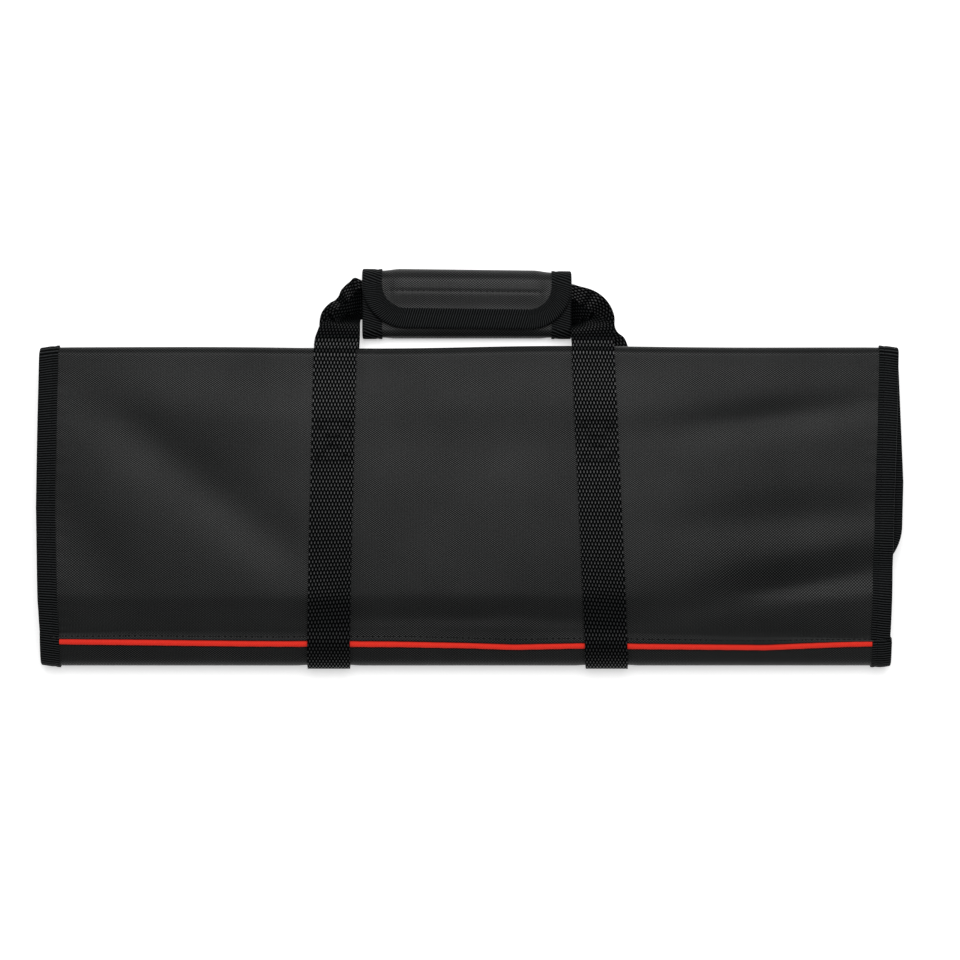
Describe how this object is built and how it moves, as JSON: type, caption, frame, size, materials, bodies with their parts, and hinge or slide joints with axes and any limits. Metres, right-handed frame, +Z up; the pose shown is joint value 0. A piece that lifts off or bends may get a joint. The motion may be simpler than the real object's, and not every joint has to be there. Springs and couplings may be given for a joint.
{
  "type": "chef knife roll",
  "caption": "Long padded cloth roll for kitchen knives, folded shut, with bound edges, a red piped seam and a webbing handle under a padded wrap.",
  "frame": {"origin": "the middle of the whole thing's footprint, on the surface it lies on", "axes": "+X along the roll, +Y from the bottom fold to the handle, +Z up from the surface, out of the front"},
  "size_m": [0.5105, 0.2364, 0.036],
  "materials": {
    "cover_cloth": "matt heavy woven polyester, charcoal",
    "wrap_cloth": "matt heavy woven polyester, charcoal, padded",
    "piping_cloth": "matt red twill over a cord",
    "ribbed_tape": "black ribbed tape",
    "webbing": "black woven webbing"
  },
  "bodies": {
    "root": {"front_cover": "cover_cloth", "back_cover": "cover_cloth", "piping": "piping_cloth", "edge_binding": "ribbed_tape", "front_webbing": "webbing", "rear_webbing": "webbing", "handle_wrap": "wrap_cloth", "wrap_binding": "ribbed_tape"}
  },
  "joints": []
}
